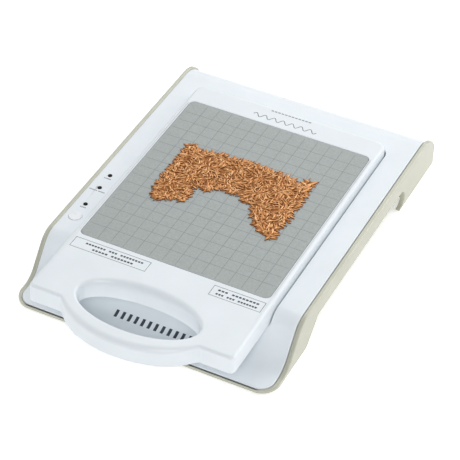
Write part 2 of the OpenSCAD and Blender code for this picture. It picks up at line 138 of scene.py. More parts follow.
def rounded_box(half, y0, y1, front_r, back_r, steps=20):
    """Plan outline, anticlockwise, with its own corner radius at the front and at the back."""
    return (arc(half - front_r, y0 + front_r, front_r, -90, 0, steps)
            + arc(half - back_r, y1 - back_r, back_r, 0, 90, steps)
            + arc(-half + back_r, y1 - back_r, back_r, 90, 180, steps)
            + arc(-half + front_r, y0 + front_r, front_r, 180, 270, steps))


def link(name, mesh):
    """A new object in the scene for a mesh."""
    obj = bpy.data.objects.new(name, mesh)
    bpy.context.scene.collection.objects.link(obj)
    return obj


def mesh_object(name, points, faces):
    """An object from points in millimetres and faces."""
    mesh = bpy.data.meshes.new(name)
    mesh.from_pydata([[c * MM for c in p] for p in points], [], faces)
    mesh.validate()
    return link(name, mesh)


def loft(rings):
    """Points and side faces between closed rings of equal length."""
    count = len(rings[0])
    points = [p for ring in rings for p in ring]
    faces = []
    for r in range(len(rings) - 1):
        for i in range(count):
            j = (i + 1) % count
            faces.append((r * count + i, r * count + j, (r + 1) * count + j, (r + 1) * count + i))
    return points, faces


def solid(rings):
    """A closed solid through its rings, capped at both ends."""
    points, faces = loft(rings)
    count = len(rings[0])
    last = count * (len(rings) - 1)
    faces.append(tuple(reversed(range(count))))
    faces.append(tuple(range(last, last + count)))
    return mesh_object("tool", points, faces)


def prism(outline, z0, z1):
    """A closed upright prism from a plan outline."""
    return solid([[(x, y, z) for x, y in outline] for z in (z0, z1)])


def column(outline, bottom=-5, top=80):
    """A prism that reaches past the whole model, below and above."""
    return prism(outline, bottom, top)


def across(profile, x0, x1):
    """A closed prism from a side profile of (y, z) points, swept from x0 to x1."""
    return solid([[(x, y, z) for y, z in profile] for x in (x0, x1)])


def block(x0, x1, y0, y1, z0, z1):
    """A box between two corners."""
    return prism([(x0, y0), (x1, y0), (x1, y1), (x0, y1)], z0, z1)


def rod(x, y, radius, z0, z1, steps=48):
    """An upright cylinder."""
    return prism(arc(x, y, radius, 0, 360 - 360 / steps, steps - 1), z0, z1)


def apply_modifiers(obj):
    """Replaces the object's mesh with the result of its modifiers."""
    evaluated = obj.evaluated_get(bpy.context.evaluated_depsgraph_get())
    mesh = bpy.data.meshes.new_from_object(evaluated)
    obj.modifiers.clear()
    obj.data = mesh


def outward(obj):
    """Makes every face of a closed mesh point outwards."""
    bm = bmesh.new()
    bm.from_mesh(obj.data)
    bmesh.ops.recalc_face_normals(bm, faces=bm.faces)
    bm.to_mesh(obj.data)
    bm.free()


def combine(target, how, *tools):
    """Booleans each tool into the target, exactly, and removes the tools."""
    outward(target)
    for tool in tools:
        outward(tool)
        boolean = target.modifiers.new("boolean", "BOOLEAN")
        boolean.operation = how
        boolean.solver = "EXACT"
        boolean.object = tool
    apply_modifiers(target)
    for tool in tools:
        bpy.data.objects.remove(tool)
    return target


def clean(obj, distance=0.004):
    """Welds doubled points and drops slivers left by a boolean."""
    bm = bmesh.new()
    bm.from_mesh(obj.data)
    bmesh.ops.remove_doubles(bm, verts=bm.verts, dist=distance * MM)
    bmesh.ops.dissolve_limit(bm, angle_limit=math.radians(0.4), verts=bm.verts, edges=bm.edges)
    bm.to_mesh(obj.data)
    bm.free()


def shade(obj, angle=32):
    """Smooth shading that breaks at sharp edges, with flat faces kept flat."""
    obj.data.shade_smooth()
    obj.data.set_sharp_from_angle(angle=math.radians(angle))
    normals = obj.modifiers.new("normals", "WEIGHTED_NORMAL")
    normals.keep_sharp = True


def add_bevel(obj, width, angle):
    """A bevel modifier on every edge that is sharper than the angle."""
    bevel = obj.modifiers.new("edges", "BEVEL")
    bevel.width = width * MM
    bevel.segments = 3
    bevel.limit_method = "ANGLE"
    bevel.angle_limit = math.radians(angle)
    return bevel


def soften(obj, width):
    """Rounds the edges of a finished skin."""
    bevel = add_bevel(obj, width, 30)
    bevel.use_clamp_overlap = False
    bevel.miter_outer = "MITER_ARC"
    apply_modifiers(obj)
    shade(obj)


# ---------- materials ----------

def linear(colour):
    """Linear colour from display values between 0 and 255."""
    return [((c / 255 + 0.055) / 1.055) ** 2.4 if c > 10 else c / 255 / 12.92 for c in colour] + [1]


CLOUD, SMEAR = 26, 7  # size of the colour's cloudiness and of the gloss's, in millimetres


class Finish:
    """A principled material under construction, with its textures in the object's own space."""

    def __init__(self, name, roughness, metallic=0.0, specular=0.5):
        self.material = bpy.data.materials.new(name)
        self.material.use_nodes = True
        self.nodes = self.material.node_tree.nodes
        self.links = self.material.node_tree.links
        self.shader = self.nodes["Principled BSDF"]
        self.shader.inputs["Roughness"].default_value = roughness
        self.shader.inputs["Metallic"].default_value = metallic
        self.shader.inputs["Specular IOR Level"].default_value = specular
        self.place = self.nodes.new("ShaderNodeTexCoord").outputs["Object"]

    def node(self, kind, **inputs):
        """A new node; each input is a value or another node's output, with _ for a space in its name."""
        made = self.nodes.new(kind)
        for key, value in inputs.items():
            socket = made.inputs[key.replace("_", " ")]
            if isinstance(value, bpy.types.NodeSocket):
                self.links.new(value, socket)
            else:
                socket.default_value = value
        return made

    def noise(self, size, detail=2.0, stretch=(1, 1, 1)):
        """Noise whose blotches are about this many millimetres across."""
        scaled = self.node("ShaderNodeMapping", Vector=self.place, Scale=stretch)
        made = self.node("ShaderNodeTexNoise", Vector=scaled.outputs["Vector"], Detail=detail,
                         Scale=1 / (size * MM))
        return made.outputs["Fac"]

    def ramp(self, value, stops):
        """Colour ramp through (position, colour) stops."""
        made = self.node("ShaderNodeValToRGB", Fac=value)
        ramp = made.color_ramp
        while len(ramp.elements) < len(stops):
            ramp.elements.new(0.5)
        for element, (position, colour) in zip(ramp.elements, stops):
            element.position = position
            element.color = colour
        return made.outputs["Color"]

    def spread(self, value, low, high):
        """A value from 0 to 1 mapped to low to high."""
        made = self.node("ShaderNodeMapRange", Value=value, To_Min=low, To_Max=high)
        return made.outputs["Result"]

    def colour(self, socket):
        """Makes a node's output the base colour."""
        self.links.new(socket, self.shader.inputs["Base Color"])

    def two_tone(self, value, dark, light):
        """Base colour that wanders between two display colours."""
        self.colour(self.ramp(value, [(0.3, linear(dark)), (0.7, linear(light))]))

    def roughness(self, value, low, high):
        """Roughness that wanders between two values."""
        self.links.new(self.spread(value, low, high), self.shader.inputs["Roughness"])

    def bump(self, height, depth, strength=1.0):
        """Bump whose full height is this many millimetres."""
        made = self.node("ShaderNodeBump", Height=height, Strength=strength, Distance=depth * MM)
        self.links.new(made.outputs["Normal"], self.shader.inputs["Normal"])


def moulded(name, colour, roughness=0.35, grain=0.35, depth=0.006, spread=3, specular=0.5):
    """Moulded plastic: a fine grain, a faint cloudiness and gloss that varies a little."""
    f = Finish(name, roughness, specular=specular)
    dark = [max(0, c - spread) for c in colour]
    light = [c + spread for c in colour]
    f.two_tone(f.noise(CLOUD, 3), dark, light)
    f.roughness(f.noise(SMEAR, 4), roughness - 0.05, roughness + 0.06)
    f.bump(f.noise(grain, 2), depth)
    return f.material


def champagne(name):
    """Satin champagne paint with a metallic sheen."""
    f = Finish(name, 0.34, metallic=0.2, specular=0.5)
    f.two_tone(f.noise(CLOUD, 3), (191, 191, 175), (197, 197, 181))
    f.roughness(f.noise(SMEAR, 4), 0.29, 0.39)
    f.bump(f.noise(0.35, 2), 0.008)
    return f.material


def metal(name, colour, roughness=0.3, brushed=(1, 1, 1)):
    """Metal with streaks along the axis whose stretch is small, or a fine mottle."""
    f = Finish(name, roughness, metallic=1.0)
    streaks = f.noise(1.2, 3, brushed)
    shaded = 0.88
    f.two_tone(streaks, [c * shaded for c in colour], colour)
    f.roughness(streaks, roughness - 0.06, roughness + 0.1)
    f.bump(streaks, 0.004)
    return f.material


def board(name):
    """Green circuit board with faint copper tracks under the mask."""
    f = Finish(name, 0.35)
    tracks = f.node("ShaderNodeTexBrick", Vector=f.place, Scale=220.0, Mortar_Size=0.035,
                    Color1=linear((28, 92, 52)), Color2=linear((24, 84, 46)), Mortar=linear((60, 128, 70)))
    f.colour(tracks.outputs["Color"])
    f.bump(tracks.outputs["Fac"], 0.03)
    return f.material


def panel_coat(name):
    """Satin grey non-stick coat with a fine orange peel."""
    f = Finish(name, 0.42)
    f.two_tone(f.noise(1.1, 3), (157, 165, 163), (173, 179, 176))
    f.roughness(f.noise(3, 3), 0.36, 0.5)
    f.bump(f.noise(0.6, 2), 0.008)
    return f.material


def copper_leaf(name):
    """Copper-coloured relief coloured by height: painted shade, brown, down between the leaves and a
    painted highlight where they stand up, with the copper's own tones between.
    """
    f = Finish(name, 0.34, metallic=0.75)
    height = f.node("ShaderNodeSeparateXYZ", Vector=f.place).outputs["Z"]
    # Painted shade at the foot of the relief and a painted highlight at its top, set by height, with a
    # random wander of tone added.
    painted_shade_z, painted_highlight_z = PLATE_LOW.z + 0.35, PLATE_HIGH.z - 0.1
    level = f.node("ShaderNodeMapRange", Value=height, From_Min=painted_shade_z * MM, From_Max=painted_highlight_z * MM)
    wander = f.spread(f.noise(1.2, 3), -0.3, 0.3)
    painted_light_and_tone = f.nodes.new("ShaderNodeMath")
    f.links.new(level.outputs["Result"], painted_light_and_tone.inputs[0])
    f.links.new(wander, painted_light_and_tone.inputs[1])
    # Ramp from a painted shade brown, through the copper's own tones, to a painted highlight.
    f.colour(f.ramp(painted_light_and_tone.outputs["Value"], [
        (0.05, linear((130, 76, 37))), (0.35, linear((184, 123, 71))),
        (0.65, linear((210, 151, 96))), (0.95, linear((250, 206, 156)))]))
    f.roughness(f.noise(0.8, 3), 0.26, 0.46)
    f.bump(f.noise(0.5, 3), 0.05)
    return f.material


def clear(name):
    """Clear glass with faint waves."""
    f = Finish(name, 0.03)
    f.shader.inputs["Transmission Weight"].default_value = 0.92
    f.two_tone(f.noise(4), (222, 230, 234), (236, 242, 246))
    f.bump(f.noise(3), 0.01)
    return f.material


MOULDED = {  # colour, roughness, grain size and depth in millimetres, spread of tone, specular
    "white_plastic": ((233, 239, 243), 0.33, 0.3, 0.004, 2),
    "white_button": ((238, 240, 243), 0.28, 0.3, 0.003, 2),
    "foot_rubber": ((52, 52, 54), 0.8, 0.5, 0.03, 6, 0.3),
    "component_blue": ((44, 88, 158), 0.4),
    "component_black": ((36, 36, 39), 0.45),
    "transformer_tape": ((206, 190, 84), 0.4, 0.8, 0.02, 8),
    "fuse_ceramic": ((226, 218, 200), 0.55, 0.4, 0.02, 6),
    "black_plastic": ((30, 30, 32), 0.48, 0.4, 0.015, 4),
    "rocker_plastic": ((26, 26, 28), 0.25, 0.4, 0.003, 3),
    "led_body": ((238, 236, 222), 0.3),
    "dark_lens": ((12, 13, 16), 0.3, 0.5, 0.001, 3, 0.15),
    "wire_insulation": ((150, 34, 30), 0.5, 0.4, 0.01, 8),
    "heater_film": ((196, 138, 66), 0.3, 0.6, 0.01, 14),
    "fibre_pad": ((222, 216, 196), 0.9, 0.5, 0.12, 10, 0.2),
    "print_dark": ((58, 62, 72), 0.5, 0.5, 0.002, 3),
    "print_grey": ((128, 134, 140), 0.5, 0.5, 0.002, 3),
    "print_line": ((130, 137, 138), 0.5, 0.5, 0.002, 4),
}
METALS = {  # colour, roughness, stretch of the brushing along x, y and z
    "label_foil": ((206, 208, 210), 0.35, (0.1, 1, 1)),
    "steel": ((196, 196, 200), 0.32),
    "brass": ((222, 184, 104), 0.25),
    "aluminium_plate": ((208, 210, 213), 0.34, (1, 0.08, 1)),
    "plain_steel": ((168, 168, 172), 0.4, (0.1, 1, 1)),
}
OWN_FINISHES = {
    "champagne_plastic": champagne,
    "circuit_board": board,
    "fuse_glass": clear,
    "panel_grey": panel_coat,
    "copper_plate": copper_leaf,
}
FINISHES = {name: moulded(name, *row) for name, row in MOULDED.items()}
FINISHES.update({name: metal(name, *row) for name, row in METALS.items()})
FINISHES.update({name: make(name) for name, make in OWN_FINISHES.items()})


def dress(obj, finish):
    """Gives a piece one material on all its faces."""
    obj.data.materials.clear()
    obj.data.materials.append(FINISHES[finish])


def piece(obj, name, body, finish, replaces=()):
    """Names, dresses and seats a finished piece on its body."""
    obj.name = name
    obj.data.name = name
    dress(obj, finish)
    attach(obj, body)
    if replaces:
        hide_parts(*replaces)
    return obj


def dress_cad_nodes():
    """The record's own slot for each CAD node."""
    for row in frame["record"]["subparts"]:
        dress(NODES[row["node"]], row["material_slot"])


# ---------- outlines of the base ----------

def base_plan(inset):
    """Plan outline of the base, moved inwards, and less so at the slim front rim."""
    front = -FRONT + max(inset - RIM_SLIM, 0)
    smallest_r = 0.4
    back_r = max(BACK_R - inset, smallest_r)
    return rounded_box(HALF_W - inset, front, BACK - inset, FRONT_R - inset, back_r)


def top_line(back, top, lip, inset=0.0):
    """Side profile of a top surface, from its back seam to its front lip, moved inwards."""
    s, c = math.sin(math.radians(SLOPE)), math.cos(math.radians(SLOPE))
    run = (top - lip - (CREST_R + FOOT_R) * (1 - c)) / s
    roll = (back - ROLL_R, top - ROLL_R)
    foot = (CREST_Y - (CREST_R + FOOT_R) * s - run * c, lip + FOOT_R)
    seam = math.degrees(math.asin((SEAM_Z - roll[1]) / (ROLL_R - inset)))
    return (arc(*roll, ROLL_R - inset, seam, 90)
            + arc(CREST_Y, top - CREST_R, CREST_R - inset, 90, 90 + SLOPE)
            + arc(*foot, FOOT_R + inset, SLOPE - 90, -90))


def bottom_line():
    """Side profile of the shell's underside, from the front lip to the back corner."""
    front = [(-FRONT, LIP_Z - RIM_DROP), (-FRONT, SHELL_Z + 0.6), (-FRONT + 1, SHELL_Z)]
    foot_back = [(FOOT_BACK_Y - 2, SHELL_Z), (FOOT_BACK_Y + 1, SHELL_Z + 1)]
    rise_top = [(FOOT_RISE_Y - 1.5, BAND_Z - 1.2), (FOOT_RISE_Y + 1.5, BAND_Z)]
    ear = arc(EAR_Y, BAND_Z - EAR_R, EAR_R, 90, -90)
    ear_tip = [(EAR_Y - 0.6, SHELL_Z + 0.4), (EAR_Y, SHELL_Z)]
    back_corner = arc(BACK - BACK_R, SHELL_Z + BACK_R, BACK_R, -90, 0, 8)
    return front + foot_back + rise_top + ear + ear_tip + back_corner


def top_side(back, top, lip, inset, half, limit):
    """Everything between a top surface and a level that lies below or above it."""
    edge = top_line(back, top, lip, inset)
    past_front = -FRONT - 5
    return across([(edge[0][0], limit)] + edge + [(past_front, lip - inset), (past_front, limit)],
                  -half, half)


def under_top(back, top, lip, inset, half):
    """Everything below a top surface."""
    return top_side(back, top, lip, inset, half, -5)


def over_top(back, top, lip, inset, half):
    """Everything above a top surface."""
    return top_side(back, top, lip, inset, half, 70)


def deck_height(y):
    """Height of the cover's top surface on the centre line."""
    line = top_line(COVER_BACK, DECK_Z, LIP_Z)
    for (y0, z0), (y1, z1) in zip(line, line[1:]):
        if y1 <= y < y0:
            return z0 + (z1 - z0) * (y0 - y) / (y0 - y1)
    return LIP_Z


def recess(grow, z0):
    """The space that the platform sits in, open at the front and the top."""
    margin = RECESS_GAP + grow
    front, front_r, open_top = -200, 1, 60
    return prism(rounded_box(TRAY_HALF + margin, front, TRAY_BACK + margin, front_r, TRAY_CORNER + grow),
                 z0, open_top)


# ---------- base ----------

def socket(x0, x1, y0, half_height):
    """A cut through the back wall for the inlet or the switch."""
    return block(x0, x1, y0, BACK + 1, SOCKET_Z - half_height, SOCKET_Z + half_height)


def shell_room():
    """The hollow of the shell: over the front foot, through the bridge and down into the rear bay."""
    inner = HALF_W - RIM_W - LEDGE_W
    open_top = 60
    foot_floor = LIP_Z - COVER_T
    foot_end, bridge_start = FOOT_BACK_Y - 5, FOOT_RISE_Y - 4.5
    bay_front, bay_back = BAY_FRONT + WALL, BACK - RIM_W
    room = across([(-FRONT, foot_floor), (foot_end, foot_floor), (bridge_start, FLOOR_Z),
                   (bay_front, FLOOR_Z), (bay_front, BAY_FLOOR), (bay_back, BAY_FLOOR),
                   (bay_back, open_top), (-FRONT, open_top)], -inner, inner)
    return combine(room, "INTERSECT", column(base_plan(RIM_W + LEDGE_W)))


def shell_cuts():
    """Openings of the shell: rear bay, back seam, gap between the ears, base plate, sockets and screws."""
    inner = HALF_W - RIM_W - LEDGE_W
    between_rims = HALF_W - RIM_W
    seam_depth, open_top = 8, 60
    ear_inset, ear_cut_front = 0.2, EAR_Y - 10
    window_half, window_front, window_back = 81, 113.5, 146.5
    seat_half, seat_front, seat_back, seat_depth = 87, 108.8, 150.8, 2
    recess_left, recess_right, recess_tall = ROCKER_X - 13, INLET_X + 16, 6.1
    socket_front = 145
    inlet_half, inlet_tall = 9.7, 4.9
    switch_half, switch_tall = 6.7, 4.6
    head_hole, head_depth = 3.2, 2.4
    cuts = [
        block(-inner, inner, BAY_FRONT + WALL, BACK - RIM_W, BAY_FLOOR, SEAM_Z + 1),
        block(-between_rims, between_rims, BACK - seam_depth, BACK + 1, SEAM_Z, open_top),
        block(-between_rims + ear_inset, between_rims - ear_inset, ear_cut_front, BAY_FRONT, -1, BAND_Z),
        block(-window_half, window_half, window_front, window_back, 0, BAY_FLOOR + 1),
        block(-seat_half, seat_half, seat_front, seat_back, 0, SHELL_Z + seat_depth),
        socket(recess_left, recess_right, SOCKET_FACE, recess_tall),
        socket(INLET_X - inlet_half, INLET_X + inlet_half, socket_front, inlet_tall),
        socket(ROCKER_X - switch_half, ROCKER_X + switch_half, socket_front, switch_tall),
    ]
    for low, high in node_islands("cover_screws"):
        x, y = (low.x + high.x) / 2, (low.y + high.y) / 2
        floor = SHELL_Z if y < 0 else BAND_Z
        cuts.append(rod(x, y, head_hole, floor - 1, floor + head_depth))
    return cuts


def build_shell():
    """Champagne shell: side walls with hooked rear ears, thin rim, front foot and rear bay."""
    shell = across(bottom_line() + top_line(BACK, RIM_Z, LIP_Z - RIM_DROP), -HALF_W - 1, HALF_W + 1)
    combine(shell, "INTERSECT", column(base_plan(0), top=60))
    well = over_top(COVER_BACK, DECK_Z, LIP_Z, COVER_T, HALF_W)
    combine(well, "INTERSECT", column(base_plan(RIM_W)))
    combine(shell, "DIFFERENCE", well, shell_room())
    for cut in shell_cuts():
        combine(shell, "DIFFERENCE", cut)
    clean(shell)
    soften(shell, 0.75)
    piece(shell, "shell_skin", "base", "champagne_plastic", ["lower_shell"])


def build_cover():
    """White cover: flat deck, rolled back, ski-slope front and the platform's recess."""
    cover = under_top(COVER_BACK, DECK_Z, LIP_Z, 0, HALF_W)
    combine(cover, "INTERSECT", column(base_plan(RIM_W + COVER_GAP), bottom=-10, top=60))
    inside = under_top(COVER_BACK, DECK_Z, LIP_Z, COVER_T, HALF_W + 2)
    combine(inside, "DIFFERENCE", recess(COVER_T, RECESS_Z - COVER_T))
    roll_front = BACK - ROLL_R - 4
    below_seam = block(-HALF_W, HALF_W, roll_front, BACK, -8, SEAM_Z + COVER_GAP)
    for cut in (inside, below_seam, recess(0, RECESS_Z)):
        combine(cover, "DIFFERENCE", cut)
    low, high, slack = 15, 40, 0.1
    holes = [rod(STRIP_X, y, LENS_HOLE, low, high) for y in LENS_Y]
    holes.append(rod(STRIP_X, BUTTON_Y, BUTTON_HOLE, low, high, 64))
    for box_low, box_high in node_islands("locating_pegs") + pin_boxes():
        x, y = (box_low.x + box_high.x) / 2, (box_low.y + box_high.y) / 2
        holes.append(rod(x, y, (box_high.x - box_low.x) / 2 + slack, low, high))
    for hole in holes:
        combine(cover, "DIFFERENCE", hole)
    clean(cover)
    soften(cover, 0.45)
    piece(cover, "cover_skin", "base", "white_plastic", ["top_cover"])


def node_islands(node):
    """The box of each separate solid in a CAD node, in millimetres."""
    bm = bmesh.new()
    bm.from_mesh(NODES[node].data)
    bmesh.ops.remove_doubles(bm, verts=bm.verts, dist=WELD * MM)
    left, found = set(bm.verts), []
    while left:
        island, queue = set(), [left.pop()]
        while queue:
            v = queue.pop()
            island.add(v)
            for edge in v.link_edges:
                other = edge.other_vert(v)
                if other in left:
                    left.remove(other)
                    queue.append(other)
        corners = [[f(v.co[i] for v in island) / MM for i in range(3)] for f in (min, max)]
        found.append((Vector(corners[0]), Vector(corners[1])))
    bm.free()
    return sorted(found, key=lambda c: (round(c[0].x, 3), round(c[0].y, 3)))


def pin_boxes():
    """The boxes of the four spring contacts."""
    return [box_mm(f"contact_pin_{i}") for i in range(1, 5)]


# ---------- platform ----------

def handle_front(x):
    """Front edge of the platform and its handle loop at x, blended smoothly where they meet."""
    blend = 5.0
    if abs(x) >= HANDLE_A:
        return TRAY_FRONT
    loop = HANDLE_Y - HANDLE_B * math.sqrt(1 - (x / HANDLE_A) ** 2)
    h = min(max(0.5 + 0.5 * (loop - TRAY_FRONT) / blend, 0), 1)
    return loop + (TRAY_FRONT - loop) * h - blend * h * (1 - h)


def tray_outline():
    """Plan outline of the platform, anticlockwise from the handle's left root."""
    corner, loop_steps, side_steps = 4, 96, 4
    loop = []
    for i in range(loop_steps + 1):
        x = -HANDLE_A * math.cos(math.pi * i / loop_steps)
        loop.append((x, handle_front(x)))
    side = TRAY_HALF - corner
    sides = [(-side + (side - HANDLE_A) * i / side_steps, TRAY_FRONT) for i in range(side_steps)]
    return (loop
            + [(-x, y) for x, y in reversed(sides)]
            + arc(side, TRAY_FRONT + corner, corner, -90, 0, 10)[1:]
            + arc(TRAY_HALF - TRAY_CORNER, TRAY_BACK - TRAY_CORNER, TRAY_CORNER, 0, 90, 14)
            + arc(-TRAY_HALF + TRAY_CORNER, TRAY_BACK - TRAY_CORNER, TRAY_CORNER, 90, 180, 14)
            + arc(-side, TRAY_FRONT + corner, corner, 180, 270, 10)
            + sides[1:])


def share(start, end, value):
    """How far a value has gone from start to end, between 0 and 1."""
    return min(max((value - start) / (end - start), 0), 1)


def inset_ring(outline, offsets, heights):
    """The outline moved inwards by each point's offset, at each point's height."""
    ring = []
    count = len(outline)
    for i, (x, y) in enumerate(outline):
        ax, ay = outline[i - 1]
        bx, by = outline[(i + 1) % count]
        dx, dy = bx - ax, by - ay
        length = math.hypot(dx, dy) or 1.0
        ring.append((x - dy / length * offsets[i], y + dx / length * offsets[i], heights[i]))
    return ring


def level_ring(outline, inset, height):
    """The outline moved inwards by one amount, at one height."""
    count = len(outline)
    return inset_ring(outline, [inset] * count, [height] * count)


def fill(points, outer, holes):
    """Triangles over a flat face with holes, as indices into points."""
    loops = [outer] + holes
    flat = [[Vector((points[i][0], points[i][1], 0)) for i in loop] for loop in loops]
    order = [i for loop in loops for i in loop]
    return [tuple(order[i] for i in triangle) for triangle in tessellate_polygon(flat)]


def edge_rings(outline, bottom, top, draft, radius, hold):
    """Rings up a drafted wall, round its top edge and a little way onto the flat top."""
    steps = 6
    rounded_foot = ((0.5, 0), (0.12, 0.15), (0, 0.5))
    rings = [level_ring(outline, inset, bottom + rise) for inset, rise in rounded_foot]
    for k in range(steps + 1):
        a = math.pi / 2 * k / steps
        rings.append(inset_ring(outline, [draft + r * (1 - math.cos(a)) for r in radius],
                                [top - r * (1 - math.sin(a)) for r in radius]))
    rings.append(inset_ring(outline, [draft + r + hold for r in radius], [top] * len(outline)))
    return rings


def finger_hole_rings(top, bottom):
    """Rings down through the finger hole: a broad scoop at its back, a small radius elsewhere."""
    steps, count = 10, 96
    centre_y, half_x, half_y = HANDLE_Y + 2.4, 47.5, 23.5
    edge_r, scoop, scoop_depth, focus = 1.8, 4.2, 5.7, 1.6
    hold, lip = 0.8, 0.3
    ellipse, widths, depths = [], [], []
    for i in range(count):
        t = -2 * math.pi * i / count
        back = max(0.0, math.sin(t)) ** focus
        ellipse.append((half_x * math.cos(t), centre_y + half_y * math.sin(t)))
        widths.append(edge_r + scoop * back)
        depths.append(edge_r + scoop_depth * back)
    rings = [level_ring(ellipse, hold, top)]
    for k in range(steps + 1):
        phi = math.pi / 2 * k / steps
        rings.append(inset_ring(ellipse, [-w * math.sin(phi) for w in widths],
                                [top - d * (1 - math.cos(phi)) for d in depths]))
    wall = [(x, y) for x, y, _ in rings[-1]]
    rings.append(level_ring(wall, 0, bottom + lip))
    rings.append(level_ring(wall, lip, bottom))
    return rings


def build_frame():
    """White platform moulding with soft edges, the panel's window, the handle loop and its scooped hole."""
    draft, hold, skin, wall, ceiling_t = 0.35, 0.8, 1.6, 2.4, 1.2
    edge_r, handle_more, back_more = 2.2, 2.1, 1.6
    outline = tray_outline()
    radius = [edge_r + handle_more * share(TRAY_FRONT - 2, TRAY_FRONT - 14, y)
              + back_more * share(TRAY_BACK - TRAY_CORNER, TRAY_BACK, y) for x, y in outline]
    outer = edge_rings(outline, TRAY_BOTTOM, TRAY_TOP, draft, radius, hold)
    gap = 0.15
    window = rounded_box(PANEL_HIGH.x + gap, PANEL_LOW.y - gap, PANEL_HIGH.y + gap,
                         PANEL_CORNER, PANEL_CORNER, 10)
    window.reverse()
    window_edge = ((1.2, 0), (0.4, 0), (0.12, 0.08), (0, 0.3), (0, skin))
    window_rings = [level_ring(window, grow, TRAY_TOP - drop) for grow, drop in window_edge]
    hole_rings = finger_hole_rings(TRAY_TOP, TRAY_BOTTOM)
    ceiling = TRAY_TOP - skin - ceiling_t
    inner_outer = [level_ring(outline, wall, z) for z in (TRAY_BOTTOM, ceiling)]
    points, faces = [], []

    def add(rings):
        """Adds a wall through the rings and returns its first and last loops of points."""
        start = len(points)
        new_points, new_faces = loft(rings)
        points.extend(new_points)
        faces.extend(tuple(start + i for i in face) for face in new_faces)
        width = len(rings[0])
        return (list(range(start, start + width)),
                list(range(start + width * (len(rings) - 1), start + width * len(rings))))

    def bridge(first, second):
        """Faces between two loops with the same number of points."""
        width = len(first)
        faces.extend((first[i], second[i], second[(i + 1) % width], first[(i + 1) % width])
                     for i in range(width))

    outer_low, outer_top = add(outer)
    window_top, window_low = add(window_rings)
    hole_top, hole_low = add(hole_rings)
    faces.extend(fill(points, outer_top, [window_top, hole_top]))
    inner_low, inner_top = add(inner_outer)
    bridge(outer_low, inner_low)
    hole_wall = [(x, y) for x, y, _ in hole_rings[-1]]
    hole_skin, hole_rise = 1.6, 2.0
    hole_back = [level_ring(hole_wall, hole_skin, z) for z in (TRAY_BOTTOM, TRAY_BOTTOM + hole_rise)]
    back_low, back_top = add(hole_back)
    bridge(hole_low, back_low)
    faces.extend(fill(points, inner_top, [back_top, window_low]))
    made = mesh_object("tool", points, faces)
    outward(made)
    shade(made, 40)
    piece(made, "platform_skin", "platform", "white_plastic", ["platform_frame"])


def build_panel():
    """Grey working surface with a softly rounded edge."""
    outline = rounded_box(PANEL_HIGH.x, PANEL_LOW.y, PANEL_HIGH.y, PANEL_CORNER, PANEL_CORNER, 12)
    top = PANEL_HIGH.z
    edge = ((0.15, PANEL_LOW.z), (0.15, top - 0.35), (0.2, top - 0.1), (0.4, top), (1.0, top))
    made = solid([level_ring(outline, inset, z) for inset, z in edge])
    outward(made)
    shade(made)
    piece(made, "panel_surface", "platform", "panel_grey", ["grid_panel"])


# ---------- printed marks ----------

class Print:
    """Collects thin printed strips into one piece."""

    def __init__(self, height=0.02):
        self.height = height
        self.points, self.faces = [], []

    def quad(self, corners):
        """A thin closed strip over four corners (x, y, z)."""
        start, lift = len(self.points), 0.002
        self.points += [(x, y, z + lift) for x, y, z in corners]
        self.points += [(x, y, z + self.height) for x, y, z in corners]
        self.faces += [tuple(start + i for i in face) for face in
                       ((3, 2, 1, 0), (4, 5, 6, 7), (0, 1, 5, 4), (1, 2, 6, 5), (2, 3, 7, 6), (3, 0, 4, 7))]

    def bar(self, x0, x1, y0, y1, z):
        """A rectangle between two corners."""
        self.quad([(x0, y0, z), (x1, y0, z), (x1, y1, z), (x0, y1, z)])

    def stroke(self, path, width, z):
        """A line of constant width along (x, y) points."""
        for (x0, y0), (x1, y1) in zip(path, path[1:]):
            length = math.hypot(x1 - x0, y1 - y0)
            nx, ny = -(y1 - y0) / length * width / 2, (x1 - x0) / length * width / 2
            self.quad([(x0 - nx, y0 - ny, z), (x1 - nx, y1 - ny, z),
                       (x1 + nx, y1 + ny, z), (x0 + nx, y0 + ny, z)])

    def frame(self, x0, x1, y0, y1, width, z):
        """The four sides of a rectangle."""
        self.bar(x0, x1, y0, y0 + width, z)
        self.bar(x0, x1, y1 - width, y1, z)
        self.bar(x0, x0 + width, y0 + width, y1 - width, z)
        self.bar(x1 - width, x1, y0 + width, y1 - width, z)

    def dashes(self, x0, x1, y, words, tall, z):
        """A row of short bars grouped like words, standing for small print."""
        pitch = (x1 - x0) / (sum(words) + len(words) - 1)
        space = 0.14 * pitch
        x = x0
        for word in words:
            for _ in range(word):
                self.bar(x + space, x + pitch - space, y - tall / 2, y + tall / 2, z)
                x += pitch
            x += pitch

    def finish(self, name, body, finish):
        """Makes the collected strips into a piece."""
        return piece(mesh_object("tool", self.points, self.faces), name, body, finish)


def build_grid():
    """Printed grid of 10 mm squares on the panel."""
    lines = Print(0.015)
    margin, width, square = 1.6, 0.34, 10
    first_x, columns = -58.6, 13
    first_y, rows = -59.4, 15
    z = PANEL_HIGH.z
    above = z + 0.003
    for i in range(columns):
        x = first_x + square * i
        lines.bar(x - width / 2, x + width / 2, PANEL_LOW.y + margin, PANEL_HIGH.y - margin, z)
    for i in range(rows):
        y = first_y + square * i
        lines.bar(PANEL_LOW.x + margin, PANEL_HIGH.x - margin, y - width / 2, y + width / 2, above)
    lines.finish("panel_grid_lines", "platform", "print_line")


